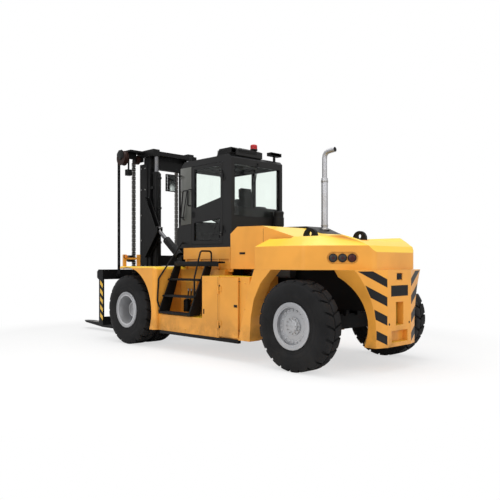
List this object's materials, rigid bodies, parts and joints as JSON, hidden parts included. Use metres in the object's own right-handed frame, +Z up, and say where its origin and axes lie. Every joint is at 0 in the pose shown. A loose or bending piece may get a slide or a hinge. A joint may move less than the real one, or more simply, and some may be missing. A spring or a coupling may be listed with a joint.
{
  "type": "heavy forklift truck",
  "caption": "Heavy counterbalance forklift truck with raised cab, two stage mast, wide fork carriage, twin drive wheels, steered rear wheels and cast counterweight",
  "frame": {"origin": "middle of the bounding box on the floor", "axes": "+X forward to the fork tips, +Y to the driver's left, +Z up"},
  "size_m": [9.54, 3, 4.42],
  "materials": {
    "paint_yellow": "semi-gloss orange yellow enamel",
    "paint_black": "semi-gloss black enamel",
    "paint_grey": "dark grey enamel",
    "rim_silver": "silver rim paint",
    "tyre_black": "matt tyre rubber",
    "hose_black": "hydraulic hose rubber",
    "glass_clear": "clear tinted safety glass",
    "chrome": "bright chromed steel",
    "steel_bare": "bare worn steel",
    "chain_steel": "oiled leaf chain",
    "engine_grey": "cast grey iron",
    "weight_yellow": "orange yellow painted casting",
    "beacon_red": "red lens",
    "lamp_clear": "lamp lens and housing",
    "plastic_dark": "moulded dark plastic",
    "seat_fabric": "woven black seat cloth"
  },
  "bodies": {
    "chassis": {"main_frame": "paint_black", "drive_axle": "paint_black", "steer_axle": "paint_black", "front_fenders": "paint_yellow", "side_panels": "paint_yellow", "side_box": "paint_yellow", "right_tank": "paint_yellow", "counterweight": "weight_yellow", "lifting_lugs": "paint_black", "lamps": "lamp_clear", "hood": "paint_yellow", "engine_block": "engine_grey", "louvre_panel": "paint_grey", "exhaust_stack": "chrome", "stairs": "paint_black", "handrails": "paint_black", "cab_plinth": "paint_yellow", "cab_shell": "paint_grey", "cab_glazing": "glass_clear", "roof_unit": "plastic_dark", "beacon": "beacon_red", "mirrors": "plastic_dark", "seat_cushions": "seat_fabric", "cab_fittings": "plastic_dark"},
    "door": {"cab_door": "paint_grey", "door_glass": "glass_clear"},
    "lid": {"box_lid": "paint_yellow"},
    "outer_mast": {"outer_mast": "paint_black", "lift_barrels": "paint_black"},
    "inner_mast": {"inner_mast": "paint_black", "lift_rods": "chrome", "sheaves": "steel_bare", "lift_chains": "chain_steel", "carriage_hoses": "hose_black", "mast_lamps": "lamp_clear"},
    "carriage": {"carriage": "paint_black"},
    "fork_left": {"fork_left": "paint_black"},
    "fork_right": {"fork_right": "paint_black"},
    "tilt_barrel_left": {"tilt_barrel_left": "paint_black"},
    "tilt_rod_left": {"tilt_rod_left": "chrome"},
    "drive_wheel_left": {"drive_tyres_left": "tyre_black", "drive_rims_left": "rim_silver"},
    "knuckle_left": {"knuckle_left": "paint_black"},
    "steer_wheel_left": {"steer_tyre_left": "tyre_black", "steer_rim_left": "rim_silver"},
    "tilt_barrel_right": {"tilt_barrel_right": "paint_black"},
    "tilt_rod_right": {"tilt_rod_right": "chrome"},
    "drive_wheel_right": {"drive_tyres_right": "tyre_black", "drive_rims_right": "rim_silver"},
    "knuckle_right": {"knuckle_right": "paint_black"},
    "steer_wheel_right": {"steer_tyre_right": "tyre_black", "steer_rim_right": "rim_silver"}
  },
  "joints": [
    {"name": "mast_tilt", "type": "hinge", "parent": "chassis", "child": "outer_mast", "pos_m": [1.42, 0, 0.6], "axis": [0, 1, 0], "range_deg": [-10, 6]},
    {"name": "mast_lift", "type": "slide", "parent": "outer_mast", "child": "inner_mast", "axis": [0, 0, 1], "range_m": [0, 2], "deforming": ["lift_chains", "carriage_hoses"]},
    {"name": "carriage_lift", "type": "slide", "parent": "inner_mast", "child": "carriage", "axis": [0, 0, 1], "range_m": [0, 2]},
    {"name": "fork_left_slide", "type": "slide", "parent": "carriage", "child": "fork_left", "axis": [0, 1, 0], "range_m": [-0.12, 0.8]},
    {"name": "fork_right_slide", "type": "slide", "parent": "carriage", "child": "fork_right", "axis": [0, -1, 0], "range_m": [-0.12, 0.8]},
    {"name": "tilt_barrel_left_turn", "type": "hinge", "parent": "chassis", "child": "tilt_barrel_left", "pos_m": [0.22, 0.645, 1.86], "axis": [0, 1, 0], "range_deg": [-10, 8]},
    {"name": "tilt_rod_left_slide", "type": "slide", "parent": "tilt_barrel_left", "child": "tilt_rod_left", "axis": [0.7956, 0, 0.6058], "range_m": [-0.34, 0.22]},
    {"name": "tilt_barrel_right_turn", "type": "hinge", "parent": "chassis", "child": "tilt_barrel_right", "pos_m": [0.22, -0.645, 1.86], "axis": [0, 1, 0], "range_deg": [-10, 8]},
    {"name": "tilt_rod_right_slide", "type": "slide", "parent": "tilt_barrel_right", "child": "tilt_rod_right", "axis": [0.7956, 0, 0.6058], "range_m": [-0.34, 0.22]},
    {"name": "drive_wheel_left_spin", "type": "hinge", "parent": "chassis", "child": "drive_wheel_left", "pos_m": [1.12, 1.2925, 0.75], "axis": [0, 1, 0], "continuous": true},
    {"name": "drive_wheel_right_spin", "type": "hinge", "parent": "chassis", "child": "drive_wheel_right", "pos_m": [1.12, -1.2925, 0.75], "axis": [0, 1, 0], "continuous": true},
    {"name": "steer_left", "type": "hinge", "parent": "chassis", "child": "knuckle_left", "pos_m": [-3.68, 0.95, 0.75], "axis": [0, 0, 1], "range_deg": [-60, 60]},
    {"name": "steer_wheel_left_spin", "type": "hinge", "parent": "knuckle_left", "child": "steer_wheel_left", "pos_m": [-3.68, 1.2925, 0.75], "axis": [0, 1, 0], "continuous": true},
    {"name": "steer_right", "type": "hinge", "parent": "chassis", "child": "knuckle_right", "pos_m": [-3.68, -0.95, 0.75], "axis": [0, 0, 1], "range_deg": [-60, 60]},
    {"name": "steer_wheel_right_spin", "type": "hinge", "parent": "knuckle_right", "child": "steer_wheel_right", "pos_m": [-3.68, -1.2925, 0.75], "axis": [0, 1, 0], "continuous": true},
    {"name": "door_swing", "type": "hinge", "parent": "chassis", "child": "door", "pos_m": [-1.21, 0.76, 3], "axis": [0, 0, 1], "range_deg": [0, 90]},
    {"name": "lid_swing", "type": "hinge", "parent": "chassis", "child": "lid", "pos_m": [-1.81, 1.4, 0.95], "axis": [0, 0, -1], "range_deg": [0, 100]}
  ],
  "couplings": [
    {"joint": "carriage_lift", "follows": "mast_lift", "ratio": 1},
    {"joint": "tilt_barrel_left_turn", "follows": "mast_tilt", "ratio": 0.866},
    {"joint": "tilt_rod_left_slide", "follows": "mast_tilt", "m_per_rad": 1.73},
    {"joint": "tilt_barrel_right_turn", "follows": "mast_tilt", "ratio": 0.866},
    {"joint": "tilt_rod_right_slide", "follows": "mast_tilt", "m_per_rad": 1.73},
    {"joint": "steer_right", "follows": "steer_left", "ratio": 1}
  ]
}
